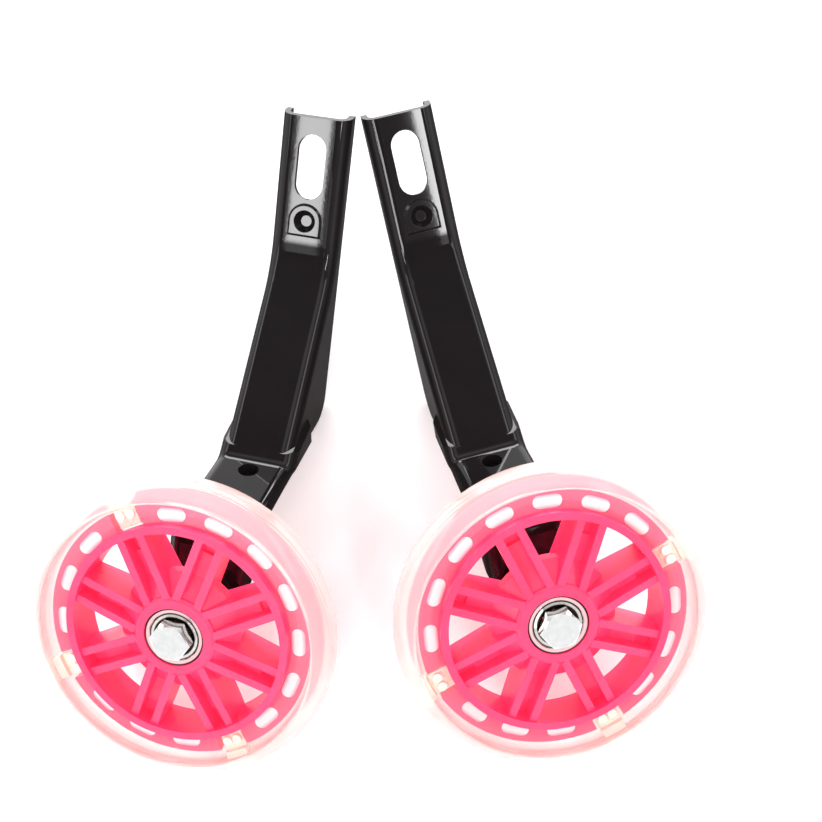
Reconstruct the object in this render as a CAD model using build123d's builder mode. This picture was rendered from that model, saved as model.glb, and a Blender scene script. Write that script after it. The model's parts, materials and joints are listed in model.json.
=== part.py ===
from build123d import *
import os
from math import asin, atan2, cos, degrees, hypot, radians, sin, tan

# A pair of bicycle training wheels: two stamped steel arms, each with a light-up wheel on an axle bolt.
# A unit is drawn in its own frame: the origin is the middle of the wheel, Z is the axle and points
# outboard, and the arm rises along Y. The two units then lie on the floor as they come to rest, each
# on the back of its tyre and the two rounded feet of its arm. Millimetres, +Z up.

# Tyre, cast in clear rubber around the rim of the core
tyre_radius = 56.5
tyre_width = 24.0
tyre_heel = 2.0
cast_gap = 0.05

# Core, moulded in one piece: hub, spokes, rim and the flange that the tyre is cast on
rim_wall = 2.7
rim_width = 15.0
flange_radius = 48.5
flange_width = 7.5
flange_thickness = 6.0
ring_land = 4.5
ring_places = 16
ring_hole_length = 10.5
ring_hole_width = 4.8
spoke_count = 8
spoke_width = 10.8
spoke_groove = 5.2
spoke_floor = 4.0
spoke_height_hub = 16.0
spoke_height_rim = 12.5
spoke_window = 6.0
spoke_window_floor = 0.8
hub_radius = 15.0
hub_length = 17.0
hub_chamfer = 1.0
hub_bore = 8.5
web_radius = 22.5
web_thickness = 13.0
web_edge = 4.0

# Light modules, cast into the tyre in notches of the flange
light_places = (0, 4, 8)
light_notch = 11.0
light_length = 8.4
light_width = 8.4
light_clear = 0.6
light_board = 1.6
light_lens = 1.7
light_lens_height = 2.6
light_lens_pitch = 3.9

# Ball bearings, 8 x 22 x 7
bearing_bore = 4.0
bearing_radius = 11.0
bearing_width = 7.0
bearing_sink = 0.5
race_inner = 6.0
race_outer = 9.0
race_chamfer = 0.3
ball_radius = 1.98
ball_count = 7
ball_play = 0.05
shield_thickness = 0.4
shield_sink = 0.3
shield_gap = 0.3
seat_fit = 0.02

# Axle bolt, washers, spacers and lock nut, all M8
bolt_radius = 3.95
bolt_fit = 0.03
head_flats = 13.0
head_height = 3.6
head_chamfer = 0.7
head_washer_radius = 6.2
head_washer_thickness = 0.8
nut_washer_radius = 8.0
nut_washer_thickness = 1.6
spacer_radius = 5.8
stand_off = 11.0
nut_height = 8.0
nut_collar_radius = 5.8
nut_collar_height = 2.4
insert_thickness = 1.5
bolt_tip = 2.0
tip_chamfer = 0.8

# Arm, one stamped sheet: slotted plate, leaning web, shelf and end plate, with flanges folded inboard
sheet = 2.5
arm_width = 29.0
arm_top = 180.0
top_drop = 2.8
plate_depth = 103.3
plate_end = 115.0
plate_bend = 50.0
knee_height = 42.0
knee_depth = 64.5
knee_bend = 5.0
shelf_slope = 15.8
heel_bend = 9.0
fold = 5.5
back_depth = 9.2
foot_height = 52.0
foot_round = 11.0
corner_round = 0.6
lip_depth = 8.0
lip_end = 8.0
joggle = 2.0
crease_height = 45.0
crease_slope = 27.0
crease_reach = 22.0
slot_height = 157.5
slot_length = 26.0
slot_width = 12.0
pad_height = 135.5
pad_width = 14.6
pad_drop = 6.5
pad_rise = 1.0
pad_taper = 45.0
dimple_radius = 4.6
dimple_depth = 2.0
dimple_taper = 38.0
cup_radius = 4.2
cup_depth = 4.5
cup_taper = 12.0
cup_reach = 7.0

# How the two units lie: distance between their wheels and how far each arm turns in
wheel_spacing = 131.0
turn_in = 14.1
spin_left = 120.0
spin_right = -165.0

# Sizes worked out from those above
rim_radius = flange_radius - flange_width
ring_radius = flange_radius - ring_land
light_radius = rim_radius + light_clear + light_width / 2
tread_middle = (flange_radius + tyre_radius) / 2
tyre_half = tyre_width / 2
tread_circle = tyre_radius - tyre_half
rim_half = rim_width / 2
flange_half = flange_thickness / 2
hub_half = hub_length / 2
bearing_outer_face = hub_half - bearing_sink
bearing_middle = bearing_outer_face - bearing_width / 2
bearing_inner_face = bearing_outer_face - bearing_width
ball_circle = (race_inner + race_outer) / 2
spoke_start = hub_radius - hub_chamfer
spoke_end = rim_radius - rim_wall / 2
rim_inner = rim_radius - rim_wall
end_plate_front = -bearing_outer_face - stand_off
end_plate_back = end_plate_front - sheet
nut_face = end_plate_back - nut_washer_thickness
nut_end = nut_face - nut_height
head_seat = bearing_outer_face + head_washer_thickness
half_arm = arm_width / 2
half_shelf = half_arm + joggle
slope = radians(shelf_slope)
shelf_fall = tan(slope)
heel_height = knee_height - (end_plate_front + knee_depth) * shelf_fall
flange_back = plate_depth + back_depth
lip_back = end_plate_front - lip_depth
lip_top = foot_height - (lip_back + flange_back) * shelf_fall
crease_end = (crease_height + crease_reach * tan(radians(crease_slope)), -knee_depth - crease_reach)
block_back = 2 * flange_back
front_points = (
    (arm_top, -plate_depth),
    (plate_end, -plate_depth),
    (knee_height, -knee_depth),
    (heel_height, end_plate_front),
    (0, end_plate_front),
)
front_bends = [plate_bend, knee_bend, heel_bend]


def ring_angle(place):
    """Angle of a place on the ring of holes."""
    return 360.0 / ring_places * place


def ring_section(inner, outer, low, high):
    """Rectangle between two radii and two heights, in a sketch through the axle."""
    with Locations(((inner + outer) / 2, (low + high) / 2)):
        Rectangle(outer - inner, high - low)


# Light modules: a small board with two lamps on each side, at three places of the ring
with BuildPart() as light_modules:
    for place in light_places:
        with BuildSketch(Plane.XY.offset(-light_board / 2)):
            with PolarLocations(light_radius, 1, start_angle=ring_angle(place)):
                Rectangle(light_width, light_length)
        extrude(amount=light_board)
        for side in (1, -1):
            with PolarLocations(light_radius, 1, start_angle=ring_angle(place)):
                with Locations((0, light_lens_pitch / 2, 0), (0, -light_lens_pitch / 2, 0)):
                    Cylinder(
                        light_lens,
                        light_lens_height,
                        align=(Align.CENTER, Align.CENTER, Align.MIN if side > 0 else Align.MAX),
                    )

# One spoke along X: a double rib that tapers to the rim, with a groove on both faces
with BuildPart() as spoke:
    with BuildSketch(Plane.XZ):
        with BuildLine():
            Polyline(
                (spoke_start, -spoke_height_hub / 2),
                (spoke_end, -spoke_height_rim / 2),
                (spoke_end, spoke_height_rim / 2),
                (spoke_start, spoke_height_hub / 2),
                close=True,
            )
        make_face()
    extrude(amount=spoke_width / 2, both=True)
    for side in (1, -1):
        with BuildSketch(Plane.XY.offset(side * spoke_floor / 2)):
            with Locations((web_radius, 0)):
                SlotCenterToCenter(2 * (rim_inner - web_radius), spoke_groove)
        extrude(amount=side * spoke_height_hub, mode=Mode.SUBTRACT)
        with BuildSketch(Plane.XY.offset(side * spoke_window_floor / 2)):
            with Locations((rim_inner, 0)):
                Rectangle(spoke_window, spoke_groove, align=(Align.MAX, Align.CENTER))
        extrude(amount=side * spoke_floor, mode=Mode.SUBTRACT)

# Wheel core
with BuildPart() as wheel_core:
    with BuildSketch(Plane.XZ):
        with BuildLine():
            seat = bearing_radius + seat_fit
            Polyline(
                (hub_bore, -bearing_inner_face),
                (seat, -bearing_inner_face),
                (seat, -hub_half),
                (hub_radius - hub_chamfer, -hub_half),
                (hub_radius, hub_chamfer - hub_half),
                (hub_radius, -web_thickness / 2),
                (web_radius, -web_edge / 2),
                (web_radius, web_edge / 2),
                (hub_radius, web_thickness / 2),
                (hub_radius, hub_half - hub_chamfer),
                (hub_radius - hub_chamfer, hub_half),
                (seat, hub_half),
                (seat, bearing_inner_face),
                (hub_bore, bearing_inner_face),
                close=True,
            )
        make_face()
        ring_section(rim_inner, rim_radius, -rim_half, rim_half)
        ring_section(rim_radius, flange_radius, -flange_half, flange_half)
    revolve(axis=Axis.Z)
    with PolarLocations(0, spoke_count):
        add(spoke.part)
    with BuildSketch(Plane.XY.offset(-flange_half)):
        for place in range(ring_places):
            with PolarLocations(ring_radius, 1, start_angle=ring_angle(place)):
                if place in light_places:
                    with Locations((rim_radius - ring_radius + cast_gap, 0)):
                        Rectangle(
                            tyre_radius - rim_radius, light_notch, align=(Align.MIN, Align.CENTER)
                        )
                else:
                    SlotOverall(ring_hole_length, ring_hole_width, rotation=90)
    extrude(amount=flange_thickness, mode=Mode.SUBTRACT)

# Tyre: a ring of round section that fills the holes and notches of the flange
with BuildPart() as tyre:
    tyre_seat = rim_radius + cast_gap
    with BuildSketch(Plane.XZ) as tyre_section:
        with BuildLine():
            tread = ThreePointArc((tread_circle, -tyre_half), (tyre_radius, 0), (tread_circle, tyre_half))
            Polyline(tread @ 1, (tyre_seat, rim_half), (tyre_seat, -rim_half), tread @ 0)
        make_face()
        heels = tyre_section.vertices().group_by(Axis.Y)
        fillet(heels[0] + heels[-1], tyre_heel)
    revolve(axis=Axis.Z)
    with BuildSketch(Plane.XZ):
        cavity = flange_half + cast_gap
        ring_section(tyre_seat, flange_radius + cast_gap, -cavity, cavity)
    revolve(axis=Axis.Z, mode=Mode.SUBTRACT)
    with BuildSketch(Plane.XY.offset(-cavity)):
        for place in range(ring_places):
            with PolarLocations(ring_radius, 1, start_angle=ring_angle(place)):
                if place in light_places:
                    with Locations((rim_radius - ring_radius + 2 * cast_gap, 0)):
                        Rectangle(
                            tread_middle - rim_radius,
                            light_notch - 2 * cast_gap,
                            align=(Align.MIN, Align.CENTER),
                        )
                else:
                    SlotOverall(
                        ring_hole_length - 2 * cast_gap, ring_hole_width - 2 * cast_gap, rotation=90
                    )
    extrude(amount=2 * cavity)
    add(light_modules.part, mode=Mode.SUBTRACT)


def bearing_plane(direction):
    """Middle plane of the outboard (+1) or inboard (-1) bearing."""
    return Plane.XY.offset(direction * bearing_middle)


def section_plane(direction):
    """Plane through the axle, with its origin in the middle of one bearing."""
    return Plane(origin=(0, 0, direction * bearing_middle), x_dir=(1, 0, 0), z_dir=(0, -1, 0))


def race(inner, outer, direction):
    """A bearing race between two radii, with the groove that the balls run in."""
    with BuildPart() as ring:
        with BuildSketch(section_plane(direction)):
            half = bearing_width / 2
            with BuildLine():
                Polyline(
                    (inner, race_chamfer - half),
                    (inner + race_chamfer, -half),
                    (outer - race_chamfer, -half),
                    (outer, race_chamfer - half),
                    (outer, half - race_chamfer),
                    (outer - race_chamfer, half),
                    (inner + race_chamfer, half),
                    (inner, half - race_chamfer),
                    close=True,
                )
            make_face()
            with Locations((ball_circle, 0)):
                Circle(ball_radius + ball_play, mode=Mode.SUBTRACT)
        revolve(axis=Axis.Z)
    return ring


def balls(direction):
    """The balls of one bearing, evenly spaced."""
    with BuildPart(bearing_plane(direction)) as ball_set:
        with PolarLocations(ball_circle, ball_count):
            Sphere(ball_radius)
    return ball_set


def shields(direction):
    """The two dust shields of one bearing, held in its outer race."""
    with BuildPart() as pair:
        with BuildSketch(section_plane(direction)):
            top = bearing_width / 2 - shield_sink
            for low in (top - shield_thickness, -top):
                ring_section(
                    race_inner + shield_gap, race_outer - seat_fit, low, low + shield_thickness
                )
        revolve(axis=Axis.Z)
    return pair


def sleeve(inner, outer, low, high):
    """A plain tube or washer around the axle."""
    with BuildPart() as tube:
        with BuildSketch(Plane.XY.offset(low)):
            Circle(outer)
            Circle(inner, mode=Mode.SUBTRACT)
        extrude(amount=high - low)
    return tube


def hex_crown(low, height, chamfered_end):
    """Hexagon prism with the corners of one end turned off, for bolt heads and nuts."""
    corner = head_flats / 2 / cos(radians(30))
    with BuildPart() as prism:
        with BuildSketch(Plane.XY.offset(low)):
            RegularPolygon(corner, 6)
        extrude(amount=height)
        end = low + height if chamfered_end > 0 else low
        with BuildSketch(Plane.XZ):
            with BuildLine():
                Polyline(
                    (corner - 2 * head_chamfer, end),
                    (corner + head_chamfer, end),
                    (corner + head_chamfer, end - chamfered_end * 2 * head_chamfer),
                    (corner, end - chamfered_end * head_chamfer),
                    close=True,
                )
            make_face()
        revolve(axis=Axis.Z, mode=Mode.SUBTRACT)
    return prism


# Axle bolt: hexagon head outboard, shank through bearings, spacers and end plate
head = hex_crown(head_seat, head_height, 1)
with BuildPart() as axle_bolt:
    add(head.part)
    with BuildSketch(Plane.XY.offset(head_seat)):
        Circle(bolt_radius)
    extrude(amount=nut_end - bolt_tip - head_seat)
    chamfer(axle_bolt.edges().sort_by(Axis.Z)[0], tip_chamfer)

# Lock nut with a collar, and the nylon ring held in the collar
bolt_bore = bolt_radius + bolt_fit
crown = hex_crown(nut_end + nut_collar_height, nut_height - nut_collar_height, 1)
with BuildPart() as lock_nut:
    add(crown.part)
    with BuildSketch(Plane.XY.offset(nut_end)):
        Circle(nut_collar_radius)
    extrude(amount=nut_collar_height)
    fillet(lock_nut.edges().filter_by(GeomType.CIRCLE).sort_by(Axis.Z)[0], tip_chamfer)
    with BuildSketch(Plane.XY.offset(nut_end)):
        Circle(bolt_bore)
    extrude(amount=nut_height, mode=Mode.SUBTRACT)
    with BuildSketch(Plane.XY.offset(nut_end + tip_chamfer)):
        Circle(nut_collar_radius - tip_chamfer)
    extrude(amount=insert_thickness, mode=Mode.SUBTRACT)

# Side views of the arm: what lies behind the front and behind the back of its web, and its outline
with BuildSketch(Plane.YZ) as web_side:
    with BuildLine():
        FilletPolyline(*front_points, radius=front_bends)
        offset(amount=sheet, side=Side.LEFT)
    make_face()

with BuildSketch(Plane.YZ) as behind_front:
    with BuildLine():
        FilletPolyline(*front_points, radius=front_bends)
        Polyline((0, end_plate_front), (0, -block_back), (arm_top, -block_back), (arm_top, -plate_depth))
    make_face()

with BuildSketch(Plane.YZ) as behind_web:
    add(behind_front.sketch_local)
    add(web_side.sketch_local, mode=Mode.SUBTRACT)

with BuildSketch(Plane.YZ) as outline_side:
    with BuildLine():
        outline = FilletPolyline(
            (0, 0),
            (0, end_plate_back),
            (lip_end, end_plate_back),
            (lip_end + lip_depth, lip_back),
            (lip_top, lip_back),
            (foot_height, -flange_back),
            (arm_top, -flange_back),
            (arm_top - top_drop, -plate_depth),
            (arm_top - top_drop, 0),
            radius=[0, 0, 0, 0, foot_round, corner_round, 0],
        )
        Line(outline @ 1, outline @ 0)
    make_face()

with BuildSketch(Plane.YZ) as lower_side:
    add(outline_side.sketch_local)
    with BuildLine():
        Polyline(
            crease_end,
            (crease_height, -knee_depth),
            (crease_height, 0),
            (0, 0),
            (0, -flange_back),
            close=True,
        )
    make_face(mode=Mode.INTERSECT)

with BuildSketch(Plane.YZ) as upper_side:
    add(outline_side.sketch_local)
    add(lower_side.sketch_local, mode=Mode.SUBTRACT)


def folded_block(side, half_width, bend):
    """Block with a given side view, with its two long front edges rounded as folds."""
    with BuildPart() as block:
        with BuildSketch(Plane.YZ):
            add(side.sketch_local)
        extrude(amount=half_width, both=True)
        fillet(block.edges().filter_by(Axis.Y).group_by(Axis.Z)[-1], bend)
    return block.part


def channel(half_width, limits):
    """Folded sheet of a given half width, kept inside a block."""
    with BuildPart() as folded:
        add(folded_block(behind_front, half_width, fold))
        add(folded_block(behind_web, half_width - sheet, fold - sheet), mode=Mode.SUBTRACT)
        add(limits.part, mode=Mode.INTERSECT)
    return folded.part


# Blocks that bound the narrow upper channel and the wider lower one, which slopes in along its crease
with BuildPart() as upper_limits:
    with BuildSketch(Plane.YZ):
        add(upper_side.sketch_local)
    extrude(amount=half_arm, both=True)

with BuildPart() as lower_limits:
    with BuildSketch(Plane.YZ):
        add(lower_side.sketch_local)
    extrude(amount=half_shelf, both=True)
    for face in lower_limits.faces().filter_by(Axis.X):
        chamfer(face.edges().sort_by(Axis.Y)[-3:], joggle)

# Arm: a channel with deep flanges that step outwards below their crease, and a round end plate
with BuildPart() as arm:
    add(channel(half_arm, upper_limits))
    add(channel(half_shelf, lower_limits))
    with BuildSketch(Plane.XY.offset(end_plate_back)):
        Circle(half_shelf)
    extrude(amount=sheet)
    # arched pad below the slot
    with BuildSketch(Plane.XY.offset(-plate_depth)):
        with BuildLine():
            arch = CenterArc((0, pad_height), pad_width / 2, 0, 180)
            pad_foot = pad_height - pad_drop
            Polyline(arch @ 1, (-pad_width / 2, pad_foot), (pad_width / 2, pad_foot), arch @ 0)
        make_face()
    extrude(amount=pad_rise, taper=pad_taper)
    # a dimple pressed through the pad keeps the arm from turning, and a deep cup is pressed into the shelf
    pad_top = Plane(origin=(0, pad_height, pad_rise - plate_depth))
    cup_at = (0, knee_height - cup_reach * sin(slope), cup_reach * cos(slope) - knee_depth)
    shelf_top = Plane(origin=cup_at, x_dir=(1, 0, 0), z_dir=(0, cos(slope), sin(slope)))
    for top, radius, depth, taper in (
        (pad_top, dimple_radius, dimple_depth + pad_rise, dimple_taper),
        (shelf_top, cup_radius, cup_depth, cup_taper),
    ):
        with BuildSketch(top.offset(-sheet)):
            Circle(radius)
        extrude(amount=-depth, taper=taper)
        with BuildSketch(top):
            Circle(radius)
        extrude(amount=-depth, taper=taper, mode=Mode.SUBTRACT)
    # slot for the bicycle's axle and hole for the wheel's bolt
    with BuildSketch(Plane.XY.offset(-plate_depth)):
        with Locations((0, slot_height)):
            SlotOverall(slot_length, slot_width, rotation=90)
    extrude(amount=-sheet, mode=Mode.SUBTRACT)
    with BuildSketch(Plane.XY.offset(end_plate_back)):
        Circle(bolt_bore)
    extrude(amount=sheet, mode=Mode.SUBTRACT)

# Where a unit comes to rest: a line under the tyre's round and the rounded foot of the flanges
foot_up = foot_height + foot_round * (1 - sin(slope)) / cos(slope) + tread_circle
foot_in = flange_back - foot_round
tilt = atan2(foot_in, foot_up) + asin((foot_round - tyre_half) / hypot(foot_up, foot_in))
wheel_height = tread_circle * sin(tilt) + tyre_half


def unit_place(direction, along):
    """Location of the left (-1) or right (+1) unit on the floor."""
    at = Pos(direction * wheel_spacing / 2, along, wheel_height)
    return at * Rot(0, 0, direction * turn_in) * Rot(degrees(tilt), 0, 0)


footprint = Compound(
    [piece.part.moved(unit_place(side, 0)) for side in (-1, 1) for piece in (arm, tyre)]
).bounding_box()
middle = -footprint.center().Y
units = {"left": unit_place(-1, middle), "right": unit_place(1, middle)}
wheels = {"left": units["left"] * Rot(0, 0, spin_left), "right": units["right"] * Rot(0, 0, spin_right)}


def write(piece, name, places):
    """Write one piece at both of its places, each to its own file."""
    for side, place in places.items():
        piece.part.label = f"{side}_{name}"
        piece.part.locate(place)
        export_step(piece.part, f"parts/{side}_{name}.step")


os.makedirs("parts", exist_ok=True)
write(arm, "arm", units)
write(wheel_core, "wheel_core", wheels)
write(tyre, "tyre", wheels)
write(light_modules, "light_modules", wheels)
for bearing, direction in {"outer_bearing": 1, "inner_bearing": -1}.items():
    write(race(race_outer, bearing_radius, direction), f"{bearing}_outer_race", wheels)
    write(race(bearing_bore, race_inner, direction), f"{bearing}_inner_race", units)
    write(balls(direction), f"{bearing}_balls", wheels)
    write(shields(direction), f"{bearing}_shields", wheels)
write(axle_bolt, "axle_bolt", units)
write(sleeve(bolt_bore, head_washer_radius, bearing_outer_face, head_seat), "head_washer", units)
write(sleeve(bolt_bore, spacer_radius, -bearing_inner_face, bearing_inner_face), "bearing_spacer", units)
write(sleeve(bolt_bore, spacer_radius, end_plate_front, -bearing_outer_face), "arm_spacer", units)
write(sleeve(bolt_bore, nut_washer_radius, nut_face, end_plate_back), "nut_washer", units)
write(lock_nut, "lock_nut", units)
insert_low = nut_end + tip_chamfer
insert = sleeve(bolt_bore, nut_collar_radius - tip_chamfer, insert_low, insert_low + insert_thickness)
write(insert, "nut_insert", units)
print("tilt", round(degrees(tilt), 3), "wheel height", round(wheel_height, 3), "middle", round(middle, 3))
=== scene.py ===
# %% [markdown]
# A pair of bicycle training wheels lies on a white table: two black steel arms, each with a pink
# wheel in a clear tyre. The solids already have their true sizes, so this lesson loads them as a
# fixed frame and works on what the eye sees: the finish of each surface, the clear tyres, the light
# and the camera. Everything is in metres, in the frame of the solids.

# %% Load the solids
import json
from math import atan2, cos, pi, radians, sin, tau

import bmesh
import bpy
from mathutils import Matrix, Vector


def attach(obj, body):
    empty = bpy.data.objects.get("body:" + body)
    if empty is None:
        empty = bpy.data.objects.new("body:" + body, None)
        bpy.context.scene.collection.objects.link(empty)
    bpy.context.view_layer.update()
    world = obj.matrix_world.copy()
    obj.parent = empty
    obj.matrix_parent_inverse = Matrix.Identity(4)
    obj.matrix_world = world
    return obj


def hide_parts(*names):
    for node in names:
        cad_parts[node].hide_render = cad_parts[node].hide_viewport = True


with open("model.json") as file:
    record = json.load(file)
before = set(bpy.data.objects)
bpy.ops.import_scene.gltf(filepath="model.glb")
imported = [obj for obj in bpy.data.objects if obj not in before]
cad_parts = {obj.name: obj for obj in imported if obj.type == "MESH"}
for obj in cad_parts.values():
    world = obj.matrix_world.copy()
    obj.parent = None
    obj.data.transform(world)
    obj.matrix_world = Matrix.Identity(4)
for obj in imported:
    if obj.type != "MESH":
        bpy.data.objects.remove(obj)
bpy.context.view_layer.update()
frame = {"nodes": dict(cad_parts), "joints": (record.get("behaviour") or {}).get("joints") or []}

mm = 0.001
nodes = frame["nodes"]

# %% [markdown]
# Each wheel turns on its bolt, and most of the small parts are round about the same line. A joint of
# the frame gives that line as a point and a direction. One matrix for each side then lets everything
# round be described in the wheel's own frame, with Z along the axle, and stays right if the solids move.

# %% Find the two axles
sides = ("left", "right")


def axle_matrix(side):
    """Matrix from a wheel's own frame, with Z along its axle, to the frame of the solids."""
    joint = next(j for j in frame["joints"] if j["child"] == f"{side}_wheel")
    turn = Vector(joint["axis"]).to_track_quat("Z", "Y").to_matrix().to_4x4()
    return Matrix.Translation(joint["pos_m"]) @ turn


axles = {side: axle_matrix(side) for side in sides}
for side in sides:
    print(side, "wheel at", [round(v / mm, 1) for v in axles[side].translation], "mm")

# %% [markdown]
# A finish is a small calculation that runs at every point of a surface. Blender draws it as boxes and
# wires, which soon gets hard to read in a script. This class wraps one output of such a box, so that
# a sum or a product of two outputs is written as in Python and adds its Math node by itself. Every
# other kind of node comes from one method, which takes the node's settings and then its inputs.

# %% A wire of a shader
class Wire:
    """One output in a material's node tree, with arithmetic that adds Math nodes."""

    def __init__(self, tree, socket=None):
        self.tree = tree
        self.socket = socket

    def node(self, kind, settings=None, sockets=None, out=0):
        """Add any node: its settings first, then the values or links of its sockets."""
        made = self.tree.nodes.new(kind)
        for name, value in (settings or {}).items():
            if name == "stops":
                self.set_stops(made.color_ramp, value)
            else:
                setattr(made, name, value)
        for name, value in (sockets or {}).items():
            if isinstance(value, Wire):
                self.tree.links.new(value.socket, made.inputs[name])
            else:
                made.inputs[name].default_value = value
        return Wire(self.tree, made.outputs[out] if made.outputs else None)

    def set_stops(self, ramp, stops):
        """Give a colour ramp its stops, as pairs of a position and a colour."""
        while len(ramp.elements) < len(stops):
            ramp.elements.new(1.0)
        for element, (position, colour) in zip(ramp.elements, stops):
            element.position = position
            element.color = colour

    def maths(self, operation, first, second=0.0):
        """One Math node."""
        return self.node("ShaderNodeMath", {"operation": operation}, {0: first, 1: second})

    def __add__(self, other):
        return self.maths("ADD", self, other)

    def __radd__(self, other):
        return self.maths("ADD", other, self)

    def __sub__(self, other):
        return self.maths("SUBTRACT", self, other)

    def __rsub__(self, other):
        return self.maths("SUBTRACT", other, self)

    def __mul__(self, other):
        return self.maths("MULTIPLY", self, other)

    def __rmul__(self, other):
        return self.maths("MULTIPLY", other, self)


print("shader wires ready")

# %% [markdown]
# A few words of this shader language come back in every finish: where a point lies, an even grain, a
# blend of two colours, a soft step from 0 to 1 and a bump. A point's place is read in the piece's own
# coordinates, so a pattern turns with its wheel instead of sliding over it.

# %% Words that the finishes share
def new_finish(name):
    """A new material, and a wire that adds nodes to it."""
    finish = bpy.data.materials.new(name)
    finish.use_nodes = True
    finish.node_tree.nodes.clear()
    return finish, Wire(finish.node_tree)


def show(wire, shader):
    """Lead a shader to the material's output."""
    wire.node("ShaderNodeOutputMaterial", {}, {"Surface": shader})


def place_of(wire):
    """Where the point lies, in the piece's own coordinates."""
    return wire.node("ShaderNodeTexCoord", out="Object")


def grain(wire, place, cell, detail=2.0):
    """An even grain with cells of a given size, as a value around one half."""
    return wire.node(
        "ShaderNodeTexNoise", {}, {"Vector": place, "Scale": 1 / cell, "Detail": detail}
    )


def blend(wire, share, first, second):
    """A colour that goes from the first to the second as share goes from 0 to 1."""
    return wire.node("ShaderNodeMix", {"data_type": "RGBA"}, {0: share, 6: first, 7: second}, out=2)


def soft_step(wire, value, low, high):
    """0 below low, 1 above high and smooth between them."""
    return wire.node(
        "ShaderNodeMapRange",
        {"interpolation_type": "SMOOTHSTEP"},
        {"Value": value, "From Min": low, "From Max": high},
    )


def bump(wire, height, depth, strength):
    """A normal that follows a height from 0 to 1, as deep as the real relief."""
    return wire.node("ShaderNodeBump", {}, {"Height": height, "Distance": depth, "Strength": strength})


print("shared words ready")

# %% [markdown]
# Round parts need more words. One gives a point's place in the axle's frame, by taking the distance
# along each of its three axes as a dot product, and the distance from the axle follows from it. Another
# finds edges: a Bevel node gives the normal that a rounded edge would have, and where it leaves the true
# normal there is an edge to wear.

# %% Round places and worn edges
def axle_place(wire, side):
    """A point's x, y and z in the axle's frame, as three wires."""
    axle = axles[side]
    from_hub = wire.node(
        "ShaderNodeVectorMath",
        {"operation": "SUBTRACT"},
        {0: place_of(wire), 1: axle.translation},
    )
    return [
        wire.node(
            "ShaderNodeVectorMath",
            {"operation": "DOT_PRODUCT"},
            {0: from_hub, 1: axle.col[number].xyz},
            out="Value",
        )
        for number in range(3)
    ]


def distance_from_axle(wire, side):
    """How far a point lies from the axle."""
    x, y, _ = axle_place(wire, side)
    return wire.maths("SQRT", x * x + y * y)


def edge_wear(wire, width, place, cell):
    """1 on edges that have been rubbed, 0 elsewhere, broken up by a grain."""
    gain = 3
    rounded = wire.node("ShaderNodeBevel", {"samples": 4}, {"Radius": width})
    true = wire.node("ShaderNodeNewGeometry", out="Normal")
    alike = wire.node(
        "ShaderNodeVectorMath", {"operation": "DOT_PRODUCT"}, {0: rounded, 1: true}, out="Value"
    )
    broken_up = grain(wire, place, cell) - 0.5
    return soft_step(wire, (1 - alike) * gain + broken_up, 0.15, 0.5)


print("axle frames of", len(axles), "wheels")

# %% [markdown]
# The arms are pressed steel with a thick coat of gloss black. Sprayed paint is never quite flat: it
# has a fine orange peel, a little haze where it ran thin, and it rubs off first along cut edges; the
# lighter grey on those edges is partly that wear and partly a painted highlight. The plate faced the
# gun; the leaning web, the flanks and the cut top were sprayed at a slant, so their coat is thin and
# dull. Gloss and dull paint are two shaders, mixed by the way in which a face looks. A dot product with a
# direction is the cosine of the angle to it, so the steps below are such cosines.

# %% Gloss black paint
def looking(wire, direction):
    """How far a face looks in a direction, from -1 to 1."""
    facing = wire.node("ShaderNodeNewGeometry", out="Normal")
    return wire.node(
        "ShaderNodeVectorMath", {"operation": "DOT_PRODUCT"}, {0: facing, 1: direction}, out="Value"
    )


def black_paint(side):
    """Thick gloss black on an arm's plate and folds, dull on its web and flanks, with rubbed edges that
    also carry a painted highlight.
    """
    finish, wire = new_finish(f"{side}_gloss_black_paint")
    place = place_of(wire)
    haze = grain(wire, place, 18 * mm)
    peel = grain(wire, place, 1.3 * mm, detail=1.0)
    rubbed = edge_wear(wire, 0.5 * mm, place, 4 * mm)
    black = blend(wire, haze, (0.007, 0.006, 0.0065, 1), (0.012, 0.010, 0.011, 1))
    gloss = wire.node(
        "ShaderNodeBsdfPrincipled",
        {},
        {
            # Painted highlight, partly real wear: the edges turn a lighter grey.
            "Base Color": blend(wire, rubbed * 0.4, black, (0.060, 0.056, 0.058, 1)),
            "Roughness": haze * 0.03 + rubbed * 0.10 + 0.02,
            "Normal": bump(wire, peel, 0.02 * mm, 0.07),
            "IOR": 1.5,
            "Specular IOR Level": 0.3,
        },
    )
    dull = wire.node(
        "ShaderNodeBsdfPrincipled",
        {},
        {
            "Base Color": blend(wire, haze, (0.008, 0.007, 0.0075, 1), (0.012, 0.0105, 0.011, 1)),
            "Roughness": haze * 0.2 + 0.5,
            "Normal": bump(wire, peel, 0.03 * mm, 0.4),
            "Specular IOR Level": 0.01,
        },
    )
    along_axle = axles[side].col[2].xyz
    across = Vector((-along_axle.y, along_axle.x, 0)).normalized()
    sideways = wire.maths("ABSOLUTE", looking(wire, across))
    outwards = looking(wire, along_axle)
    flank = soft_step(wire, sideways, 0.52, 0.78)
    cut_end = soft_step(wire, looking(wire, along_axle.cross(across)), 0.972, 0.99)
    off_plate = soft_step(wire, outwards, 0.75, 0.85) - soft_step(wire, outwards, 0.9985, 0.9997)
    web = off_plate * (1 - soft_step(wire, sideways, 0.12, 0.25))
    thin = wire.maths("MAXIMUM", wire.maths("MAXIMUM", flank, cut_end), web)
    dull_share = 0.92
    show(wire, wire.node("ShaderNodeMixShader", {}, {0: thin * dull_share, 1: gloss, 2: dull}))
    return finish


for side in sides:
    nodes[f"{side}_arm"].data.materials[0] = black_paint(side)
print("painted", len(sides), "arms")

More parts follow.
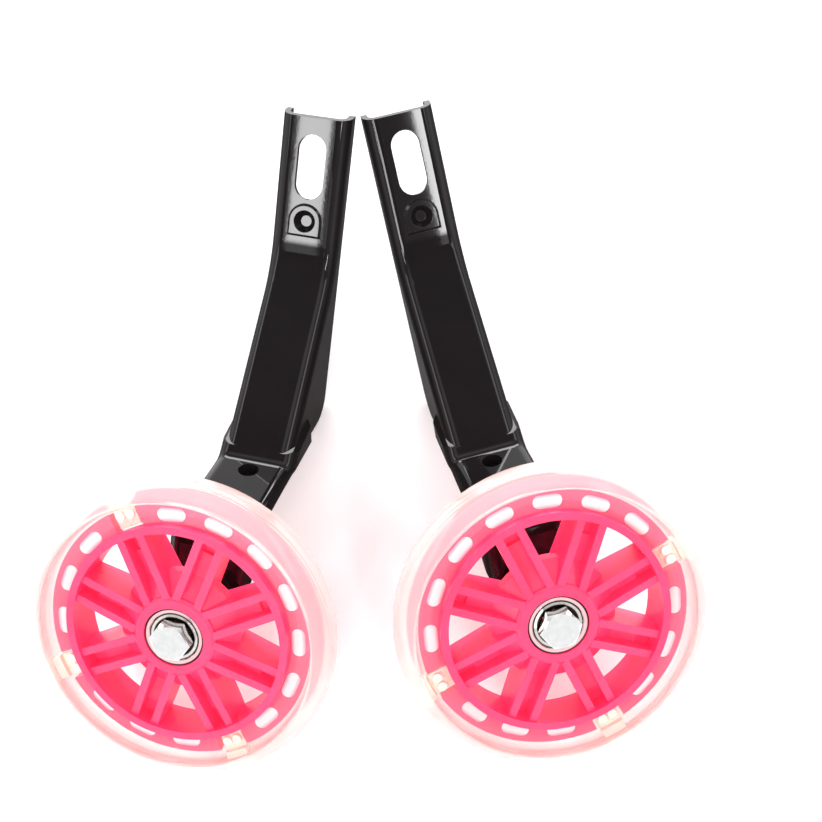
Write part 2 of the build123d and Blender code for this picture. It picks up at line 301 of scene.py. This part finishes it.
# %% [markdown]
# The wheel's core is moulded in a see-through pink. Light goes into such plastic and comes out again
# a few millimetres away, so thin ribs look lighter and deep corners stay saturated. Subsurface
# scattering does that without a second mesh, and a weak glow stands for the light that has wandered
# through the whole wheel. A little flow haze and a satin bump from the mould keep the wide faces from
# looking like flat paint.

# %% Pink translucent plastic
def pink_plastic():
    """Moulded translucent pink, satin from the mould."""
    finish, wire = new_finish("pink_translucent_plastic")
    place = place_of(wire)
    flow = grain(wire, place, 14 * mm, detail=3.0)
    satin = grain(wire, place, 0.5 * mm, detail=1.0)
    shader = wire.node(
        "ShaderNodeBsdfPrincipled",
        {"subsurface_method": "RANDOM_WALK"},
        {
            "Base Color": blend(wire, flow, (0.97, 0.034, 0.120, 1), (1.0, 0.060, 0.185, 1)),
            "Roughness": flow * 0.12 + 0.30,
            "Emission Color": blend(wire, flow, (1.0, 0.020, 0.085, 1), (1.0, 0.035, 0.120, 1)),
            "Emission Strength": 0.30,
            "Normal": bump(wire, satin, 0.01 * mm, 0.4),
            "Subsurface Weight": 0.6,
            "Subsurface Radius": (1.0, 0.18, 0.30),
            "Subsurface Scale": 3 * mm,
            "IOR": 1.48,
        },
    )
    show(wire, shader)
    return finish


plastic = pink_plastic()
for side in sides:
    nodes[f"{side}_wheel_core"].data.materials[0] = plastic
print("moulded", len(sides), "cores")

# %% [markdown]
# The tyre is cast around the rim in clear soft plastic, so nothing but the tyre's own skin bends the
# light: the pink flange lies inside it with no air between them. A ring with one closed skin says that
# best, and its measures come from the solid: the tread is a part of a circle and stays a hair inside the
# solid's. Two fine rings pressed into the tread on each side catch the light as thin double lines.

# %% Outline of the tyre
tyre_points = [axles["left"].inverted() @ v.co for v in nodes["left_tyre"].data.vertices]
tyre_radius = max(point.xy.length for point in tyre_points)
tyre_bore = min(point.xy.length for point in tyre_points)
tyre_half = max(abs(point.z) for point in tyre_points)
hair = 0.02 * mm
tread_circle = tyre_radius - tyre_half - hair
print(f"tyre {2 * tyre_radius / mm:.1f} mm across and {2 * tyre_half / mm:.1f} mm wide")


def tread_point(angle, dip):
    """Point of the round section at an angle from the middle of the tread, pressed in by a dip."""
    return (
        tread_circle + (tyre_half - dip) * cos(angle),
        (tyre_half - dip) * sin(angle),
    )


groove_places = (radians(14), radians(21))
groove_width = radians(3.5)
groove_depth = 0.12 * mm


def groove_dip(angle):
    """Depth of the fine rings at an angle of the section."""
    return sum(
        groove_depth * cos((angle - at) / groove_width * pi)
        for at in groove_places
        if abs(angle - at) < groove_width / 2
    )


# %% [markdown]
# From the tread the outline goes over a crest and down a short wall to a thin flat skin on the flange,
# which is why the holes show so plainly. Its corners are soft, as in any casting, and its bore is tucked
# just inside the rim's wall. Half of the section is enough, because the other half is its mirror image.
# Blender's Screw modifier could turn it into a ring; a few lines of bmesh do the same and say in which
# order the points are joined.

# %% Turn the outline into a ring
crest_degrees = 57
crest_corner = (50.0 * mm, 10.6 * mm)
wall_top = (49.7 * mm, 9.0 * mm)
wall_foot = (49.2 * mm, 6.0 * mm)
face_height = 4.3 * mm
face_corner = (48.9 * mm, face_height)
face_start = (47.4 * mm, face_height)
bore_tuck = 0.6 * mm
crest_steps = 6
face_steps = 5
ring_steps = 240


def soft_corner(before, corner, after, steps):
    """Points on a smooth curve that cuts a corner of the outline."""
    before, corner, after = Vector(before), Vector(corner), Vector(after)
    shares = [step / steps for step in range(1, steps + 1)]
    return [tuple(before.lerp(corner, t).lerp(corner.lerp(after, t), t)) for t in shares]


def tyre_outline():
    """Half of the tyre's section as (radius, height) points, from the middle of the tread to the bore."""
    angles = [radians(step) for step in range(crest_degrees + 1)]
    tread = [tread_point(angle, groove_dip(angle)) for angle in angles]
    return (
        tread
        + soft_corner(tread[-1], crest_corner, wall_top, crest_steps)
        + [wall_foot]
        + soft_corner(wall_foot, face_corner, face_start, face_steps)
        + [(tyre_bore, face_height), (tyre_bore - bore_tuck, face_height - bore_tuck)]
    )


def lathe(name, outline, steps, matrix):
    """A ring turned from a closed outline of (radius, height) points."""
    shape = bmesh.new()
    rows = []
    for step in range(steps):
        angle = tau * step / steps
        rows.append(
            [shape.verts.new((r * cos(angle), r * sin(angle), z)) for r, z in outline]
        )
    for row, after in zip(rows, rows[1:] + rows[:1]):
        for number in range(len(outline)):
            beside = (number + 1) % len(outline)
            shape.faces.new((row[number], after[number], after[beside], row[beside]))
    bmesh.ops.recalc_face_normals(shape, faces=shape.faces)
    mesh = bpy.data.meshes.new(name)
    shape.to_mesh(mesh)
    shape.free()
    mesh.transform(matrix)
    mesh.shade_smooth()
    piece = bpy.data.objects.new(name, mesh)
    bpy.context.scene.collection.objects.link(piece)
    return piece


half = tyre_outline()
section = half + [(r, -z) for r, z in reversed(half[1:])]
tyres = {side: lathe(f"{side}_clear_tyre", section, ring_steps, axles[side]) for side in sides}
for side, tyre in tyres.items():
    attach(tyre, f"{side}_wheel")
    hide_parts(f"{side}_tyre")
print(f"each tyre ring has {len(tyres['left'].data.polygons)} faces")

# %% [markdown]
# Clear soft plastic is glass with a low index and a faint warm tint. A renderer throws dark shadows
# under glass unless it traces a great many rays, so rays that look for lamps pass straight through,
# and everything else is bent and reflected as it should be. The tread is milky as well: it is thicker
# than the sidewalls and rubbed by the road, so a share of plain pale plastic is mixed in, more of it on
# the tread than near the axle. Casting leaves slow waves in the skin, which break up the highlights.

# %% Clear tyre
skin_edge = 48.5 * mm
tread_start = 51 * mm
skin_milk = 0.10
tread_milk = 0.40


def clear_rubber(side):
    """Clear cast plastic with slow waves in its skin, milky towards the tread."""
    finish, wire = new_finish(f"{side}_clear_cast_plastic")
    place = place_of(wire)
    waves = grain(wire, place, 9 * mm)
    haze = grain(wire, place, 3 * mm)
    skin = bump(wire, waves, 0.05 * mm, 0.3)
    glass = wire.node(
        "ShaderNodeBsdfPrincipled",
        {},
        {
            "Base Color": blend(wire, waves, (1.0, 0.86, 0.84, 1), (1.0, 0.92, 0.90, 1)),
            "Roughness": haze * 0.08 + 0.06,
            "Normal": skin,
            "Transmission Weight": 1.0,
            "IOR": 1.40,
        },
    )
    milk = wire.node(
        "ShaderNodeBsdfPrincipled",
        {},
        {
            "Base Color": blend(wire, waves, (1.0, 0.68, 0.65, 1), (1.0, 0.77, 0.74, 1)),
            "Roughness": haze * 0.1 + 0.12,
            "Normal": skin,
        },
    )
    tread = soft_step(wire, distance_from_axle(wire, side), skin_edge, tread_start)
    clear = wire.node("ShaderNodeBsdfTransparent", {}, {"Color": (1.0, 0.985, 0.98, 1)})
    lamp_ray = wire.node("ShaderNodeLightPath", out="Is Shadow Ray")
    cast = wire.node("ShaderNodeMixShader", {}, {0: tread * tread_milk + skin_milk, 1: glass, 2: milk})
    show(wire, wire.node("ShaderNodeMixShader", {}, {0: lamp_ray, 1: cast, 2: clear}))
    return finish


for side, tyre in tyres.items():
    tyre.data.materials.append(clear_rubber(side))
print("clear tyres cast")

# %% [markdown]
# The casting also fills the oblong holes of the flange, where it shows as soft white patches. Each
# plug is a slot with round ends, drawn as an outline and pulled through the flange's thickness. The
# lamps' places tell where the ring of holes starts: three boards, a quarter turn apart, so that the sum
# of all their corners points to the middle one. The other thirteen of sixteen places hold plugs. The
# hole's pink wall shines into a plug, so its finish turns from white to pink towards the wall.

# %% Plugs in the holes
hole_circle = 44 * mm
hole_length = 10.4 * mm
hole_width = 4.7 * mm
flange_half = 2.95 * mm
ring_places = 16
arc_steps = 6


def plug_outline():
    """A slot with round ends along Y, on the ring of holes, as (x, y) points."""
    end = hole_width / 2
    straight = (hole_length - hole_width) / 2
    turns = [pi * step / arc_steps for step in range(arc_steps + 1)]
    upper = [(end * cos(a), straight + end * sin(a)) for a in turns]
    return [(hole_circle + x, y) for x, y in upper] + [(hole_circle - x, -y) for x, y in upper]


def first_place(side):
    """Angle of the middle lamp, from which the places of the ring are counted."""
    into_wheel = axles[side].inverted()
    corners = [into_wheel @ v.co for v in nodes[f"{side}_light_modules"].data.vertices]
    middle = sum((corner.xy for corner in corners), Vector((0, 0)))
    return atan2(middle.y, middle.x)


def pulled(name, side, outline, places, half_height):
    """An outline pulled to both sides of the wheel's middle plane at some places, as part of the tyre."""
    shape = bmesh.new()
    for place in places:
        turn = Matrix.Rotation(first_place(side) + tau * place / ring_places, 4, "Z")
        ends = [
            [shape.verts.new(turn @ Vector((x, y, z))) for x, y in outline]
            for z in (-half_height, half_height)
        ]
        shape.faces.new(reversed(ends[0]))
        shape.faces.new(ends[1])
        for number in range(len(outline)):
            beside = (number + 1) % len(outline)
            shape.faces.new((ends[0][number], ends[0][beside], ends[1][beside], ends[1][number]))
    mesh = bpy.data.meshes.new(name)
    shape.to_mesh(mesh)
    shape.free()
    mesh.transform(axles[side])
    piece = bpy.data.objects.new(name, mesh)
    bpy.context.scene.collection.objects.link(piece)
    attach(piece, f"{side}_wheel")
    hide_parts(f"{side}_tyre")
    return piece


def white_casting(side):
    """The milky white of the casting in a hole, pink where the hole's wall shines in."""
    finish, wire = new_finish(f"{side}_white_casting")
    cloud = grain(wire, place_of(wire), 2 * mm)
    white = blend(wire, cloud, (1.0, 0.80, 0.82, 1), (1.0, 0.92, 0.92, 1))
    from_middle = wire.maths("ABSOLUTE", distance_from_axle(wire, side) - hole_circle)
    white_half = 0.9 * mm
    wall = soft_step(wire, from_middle, white_half, hole_width / 2)
    shader = wire.node(
        "ShaderNodeBsdfPrincipled",
        {},
        {
            "Base Color": blend(wire, wall, white, (1.0, 0.34, 0.46, 1)),
            "Roughness": cloud * 0.1 + 0.45,
        },
    )
    show(wire, shader)
    return finish


lamp_places = (0, ring_places // 4, ring_places * 3 // 4)
hole_places = [place for place in range(ring_places) if place not in lamp_places]
for side in sides:
    plugs = pulled(f"{side}_hole_plugs", side, plug_outline(), hole_places, flange_half)
    plugs.data.materials.append(white_casting(side))
print(len(hole_places), "plugs in each wheel")

# %% [markdown]
# Over each lamp the casting is tinted like a window, so that its light spreads as far as the tread. In
# the photograph these windows are the peach blocks that cut through the white shine of the tyre. They
# are drawn with a rounded outer end and pulled in the same way as the plugs.

# %% Windows over the lamps
window_half = 4.4 * mm
window_low = 50.1 * mm
window_high = 55.4 * mm
window_height = 3.4 * mm


def window_outline():
    """A block between two radii, with an outer end that follows the tread, as (x, y) points."""
    reach = atan2(window_half, window_high)
    turns = [reach * (2 * step / arc_steps - 1) for step in range(arc_steps + 1)]
    outer = [(window_high * cos(a), window_high * sin(a)) for a in turns]
    return [(window_low, -window_half)] + outer + [(window_low, window_half)]


def lamp_window(side):
    """Peach tinted casting with fine ribs that spread the light."""
    finish, wire = new_finish(f"{side}_lamp_window")
    place = place_of(wire)
    cloud = grain(wire, place, 3 * mm)
    rib_pitch = 1.3 * mm
    rib = wire.maths("SINE", distance_from_axle(wire, side) * (tau / rib_pitch) + cloud * 2)
    peach = blend(wire, cloud, (1.0, 0.72, 0.62, 1), (1.0, 0.82, 0.73, 1))
    shader = wire.node(
        "ShaderNodeBsdfPrincipled",
        {},
        {
            "Base Color": blend(wire, rib * 0.25 + 0.25, peach, (1.0, 0.90, 0.82, 1)),
            "Roughness": cloud * 0.15 + 0.35,
        },
    )
    show(wire, shader)
    return finish


for side in sides:
    windows = pulled(f"{side}_lamp_windows", side, window_outline(), lamp_places, window_height)
    windows.data.materials.append(lamp_window(side))
print(len(lamp_places), "lamp windows in each wheel")

# %% [markdown]
# Three small boards with lamps sit in notches of each flange and flash as the wheel turns. Unlit, they
# show as pale patches through the tyre. Board and lamps are one solid, so the finish tells them apart
# by height above the wheel's middle plane: milky lamps above the board, pale lacquer on it.

# %% Light boards
def light_board(side):
    """Pale lacquered board with milky lamps."""
    finish, wire = new_finish(f"{side}_light_board")
    place = place_of(wire)
    height = wire.maths("ABSOLUTE", axle_place(wire, side)[2])
    board_top = 0.9 * mm
    lamp_foot = 1.1 * mm
    lamp = soft_step(wire, height, board_top, lamp_foot)
    speckle = soft_step(wire, grain(wire, place, 1.2 * mm), 0.55, 0.62)
    lacquer = blend(wire, speckle, (0.97, 0.83, 0.72, 1), (0.90, 0.70, 0.55, 1))
    shader = wire.node(
        "ShaderNodeBsdfPrincipled",
        {},
        {
            "Base Color": blend(wire, lamp, lacquer, (0.98, 0.94, 0.84, 1)),
            "Roughness": 0.45 - lamp * 0.25,
        },
    )
    show(wire, shader)
    return finish


for side in sides:
    nodes[f"{side}_light_modules"].data.materials[0] = light_board(side)
print("light boards lacquered")

# %% [markdown]
# The bolt, washers, spacers and nut are steel with bright zinc. Zinc is a soft silver with a cloudy
# grain, duller in some patches than others, and rubbed bright on the corners where a spanner grips.

# %% Bright zinc
def bright_zinc():
    """Zinc-plated steel, cloudy and rubbed bright on its corners."""
    finish, wire = new_finish("bright_zinc")
    place = place_of(wire)
    cloud = grain(wire, place, 2.5 * mm, detail=4.0)
    scratch = grain(wire, place, 0.25 * mm)
    rubbed = edge_wear(wire, 0.3 * mm, place, 1.5 * mm)
    silver = blend(wire, cloud, (0.60, 0.61, 0.62, 1), (0.80, 0.80, 0.79, 1))
    shader = wire.node(
        "ShaderNodeBsdfPrincipled",
        {},
        {
            "Base Color": blend(wire, rubbed, silver, (0.90, 0.90, 0.89, 1)),
            "Roughness": cloud * 0.14 + 0.10 - rubbed * 0.05,
            "Normal": bump(wire, scratch, 0.004 * mm, 0.5),
            "Metallic": 1.0,
        },
    )
    show(wire, shader)
    return finish


zinc = bright_zinc()
zinc_parts = ("axle_bolt", "head_washer", "bearing_spacer", "arm_spacer", "nut_washer", "lock_nut")
for side in sides:
    for part in zinc_parts:
        nodes[f"{side}_{part}"].data.materials[0] = zinc
print("plated", len(zinc_parts) * len(sides), "parts")

# %% [markdown]
# Bearing races are ground on a turning wheel, which leaves fine rings about the axle. A wave of the
# distance from the axle gives those rings, with a grain so that no two are alike. The shields are
# pressed from thin sheet and are duller. A dark line of painted shade lies in the narrow gaps around the
# races and in the corner under the bolt's head, and outlines each ring. The races are tinted pink as a
# painted reflection of the pink hub. Both finishes need the axle, so each side has its own.

# %% Ground races and pressed shields
def turned_steel(side, name, dark, light, smooth, gaps):
    """Steel with fine rings about the axle, and painted shade in gaps: pairs of a radius and half a
    width.
    """
    finish, wire = new_finish(f"{side}_{name}")
    place = place_of(wire)
    ring_pitch = 0.18 * mm
    gap_shade_fade = 0.35 * mm
    wobble = grain(wire, place, 1.5 * mm)
    radius = distance_from_axle(wire, side)
    rings = wire.maths("SINE", radius * (tau / ring_pitch) + wobble * 4)
    steel = blend(wire, wobble, dark, light)
    # Painted shade: a near-black line in each gap, where shade falls into it.
    for gap, half_width in gaps:
        away = wire.maths("ABSOLUTE", radius - gap)
        unshaded = soft_step(wire, away, half_width, half_width + gap_shade_fade)
        steel = blend(wire, unshaded, (0.024, 0.014, 0.012, 1), steel)
    shader = wire.node(
        "ShaderNodeBsdfPrincipled",
        {},
        {
            "Base Color": steel,
            "Roughness": wobble * 0.12 + rings * 0.03 + smooth,
            "Normal": bump(wire, rings * 0.5 + 0.5, 0.003 * mm, 0.4),
            "Metallic": 1.0,
        },
    )
    show(wire, shader)
    return finish


seat_gap = (11.0 * mm, 0.45 * mm)
shield_gaps = ((6.6 * mm, 0.85 * mm), (9.0 * mm, 0.25 * mm))
for side in sides:
    # The races' pink colour is a painted reflection of the pink hub.
    races = turned_steel(
        side, "ground_steel", (0.74, 0.49, 0.51, 1), (0.90, 0.61, 0.63, 1), 0.10, [seat_gap]
    )
    shields = turned_steel(
        side, "shield_steel", (0.50, 0.48, 0.45, 1), (0.78, 0.76, 0.72, 1), 0.24, shield_gaps
    )
    for bearing in ("outer_bearing", "inner_bearing"):
        for part in ("outer_race", "inner_race", "balls"):
            nodes[f"{side}_{bearing}_{part}"].data.materials[0] = races
        nodes[f"{side}_{bearing}_shields"].data.materials[0] = shields
print("ground the bearings of", len(sides), "wheels")

# %% [markdown]
# The lock nut grips the bolt with a ring of natural nylon, a milky plastic that lets a little light in.

# %% Nylon ring
def milky_nylon():
    """Natural nylon, milky and slightly waxy."""
    finish, wire = new_finish("milky_nylon")
    place = place_of(wire)
    cloud = grain(wire, place, 2 * mm, detail=3.0)
    shader = wire.node(
        "ShaderNodeBsdfPrincipled",
        {},
        {
            "Base Color": blend(wire, cloud, (0.78, 0.78, 0.74, 1), (0.88, 0.88, 0.85, 1)),
            "Roughness": cloud * 0.1 + 0.4,
            "Subsurface Weight": 0.3,
            "Subsurface Radius": (1.0, 0.9, 0.8),
            "Subsurface Scale": 1 * mm,
        },
    )
    show(wire, shader)
    return finish


nylon = milky_nylon()
for side in sides:
    nodes[f"{side}_nut_insert"].data.materials[0] = nylon
print("nylon rings set")

# %% [markdown]
# The table is a round pale sheet under the wheels. It is lit until it is almost white, and a faint glow
# of its own lifts the shadows, so that only the softest one shows where the tyres touch it. It ends
# where the lamps' light still reaches, so that its edge melts into the white of the room.

# %% Table
def pale_table():
    """Matt white card with the faintest mottle."""
    finish, wire = new_finish("pale_table")
    mottle = grain(wire, place_of(wire), 60 * mm)
    shader = wire.node(
        "ShaderNodeBsdfPrincipled",
        {},
        {
            "Base Color": blend(wire, mottle, (0.93, 0.93, 0.93, 1), (0.95, 0.95, 0.95, 1)),
            "Emission Color": (1, 1, 1, 1),
            "Emission Strength": 0.08,
            "Roughness": 0.9,
            "Specular IOR Level": 0.1,
        },
    )
    show(wire, shader)
    return finish


table_radius = 900 * mm
table_sides = 96
table_mesh = bpy.data.meshes.new("table")
table_turns = [tau * step / table_sides for step in range(table_sides)]
table_edge = [(table_radius * cos(a), table_radius * sin(a), 0) for a in table_turns]
table_mesh.from_pydata(table_edge, [], [tuple(range(len(table_edge)))])
table = bpy.data.objects.new("table", table_mesh)
bpy.context.scene.collection.objects.link(table)
table.data.materials.append(pale_table())
print("table laid")

# %% [markdown]
# Gloss black paint shows the room more than itself. The sky is bright straight overhead and near the
# horizon, and dim in the belt between them that the arms' plates mirror. Two narrow lamps stand behind
# the viewer, leaned so that their images run along the plates: the left plate shows the whole of one and
# the right plate a strip of the other beside its slot. A third one draws the thin bright line down the
# right arm's inner fold. A wide low lamp at the back whitens the tops of the tyres, and two long ones
# at the sides line the folds of the webs.

# %% Sky and lamps
def set_sky():
    """A soft room: bright at eye level and straight overhead, dim between them."""
    sky = bpy.data.worlds.new("soft_room")
    sky.use_nodes = True
    sky.node_tree.nodes.clear()
    wire = Wire(sky.node_tree)
    direction = wire.node("ShaderNodeTexCoord", out="Generated")
    height = wire.node("ShaderNodeSeparateXYZ", {}, {0: direction}, out="Z")
    stops = [
        (0.0, (1.25, 1.25, 1.25, 1)),
        (0.32, (1.25, 1.25, 1.25, 1)),
        (0.55, (0.45, 0.45, 0.45, 1)),
        (0.76, (0.25, 0.25, 0.26, 1)),
        (0.93, (1.3, 1.3, 1.3, 1)),
    ]
    light = wire.node("ShaderNodeValToRGB", {"stops": stops}, {"Fac": height})
    shader = wire.node("ShaderNodeBackground", {}, {"Color": light, "Strength": 1.0})
    wire.node("ShaderNodeOutputWorld", {}, {"Surface": shader})
    bpy.context.scene.world = sky


lamp_distance = 1400 * mm


def softbox(name, azimuth, elevation, spread, radiance, lean=0.0):
    """A soft lamp at a compass angle and a height, as wide and tall as the angles of its spread."""
    towards = Vector(
        (
            sin(radians(azimuth)) * cos(radians(elevation)),
            -cos(radians(azimuth)) * cos(radians(elevation)),
            sin(radians(elevation)),
        )
    )
    lamp = bpy.data.lights.new(name, "AREA")
    lamp.shape = "RECTANGLE"
    lamp.size, lamp.size_y = (lamp_distance * radians(angle) for angle in spread)
    lamp.energy = radiance * pi * lamp.size * lamp.size_y
    stand = bpy.data.objects.new(name, lamp)
    stand.location = towards * lamp_distance
    turn = towards.to_track_quat("Z", "Y").to_matrix() @ Matrix.Rotation(radians(lean), 3, "Z")
    stand.rotation_euler = turn.to_euler()
    bpy.context.scene.collection.objects.link(stand)


set_sky()
softbox("lamp_left_of_viewer", azimuth=-39.4, elevation=43.6, spread=(2.4, 13), radiance=22, lean=17.1)
softbox("lamp_right_of_viewer", azimuth=32.9, elevation=47.2, spread=(3.4, 13), radiance=30, lean=-12.9)
softbox("lamp_near_left", azimuth=-22, elevation=40.5, spread=(14, 13), radiance=14)
softbox("lamp_at_back", azimuth=180, elevation=22, spread=(60, 20), radiance=10)
softbox("lamp_far_left", azimuth=-95, elevation=39, spread=(45, 12), radiance=3.2)
softbox("lamp_far_right", azimuth=92, elevation=45, spread=(45, 12), radiance=3.2)

# %% [markdown]
# The photograph was taken from above and in front, with the camera turned a little in the hand. The
# angles below come from matching the ring of holes, the slots and the arms' corners. The camera is
# placed on a line from its target and then rolled about that line.

# %% Camera
frame_pixels = 822
view_azimuth = radians(-3.935)
view_elevation = radians(62.229)
view_roll = radians(-5.714)
view_distance = 433.72 * mm
view_target = Vector((15.92, 25.74, 0.0)) * mm
focal_pixels = 979.95
film_width = 36.0

towards_eye = Vector(
    (
        -sin(view_azimuth) * cos(view_elevation),
        -cos(view_azimuth) * cos(view_elevation),
        sin(view_elevation),
    )
)
camera_data = bpy.data.cameras.new("camera")
camera_data.sensor_width = film_width
camera_data.lens = focal_pixels / frame_pixels * film_width
camera = bpy.data.objects.new("camera", camera_data)
turn = towards_eye.to_track_quat("Z", "Y").to_matrix() @ Matrix.Rotation(view_roll, 3, "Z")
camera.matrix_world = Matrix.Translation(view_target + towards_eye * view_distance) @ turn.to_4x4()
bpy.context.scene.collection.objects.link(camera)
bpy.context.scene.camera = camera
bpy.context.scene.view_settings.view_transform = "Standard"
print("camera at", [round(v / mm) for v in camera.matrix_world.translation], "mm")
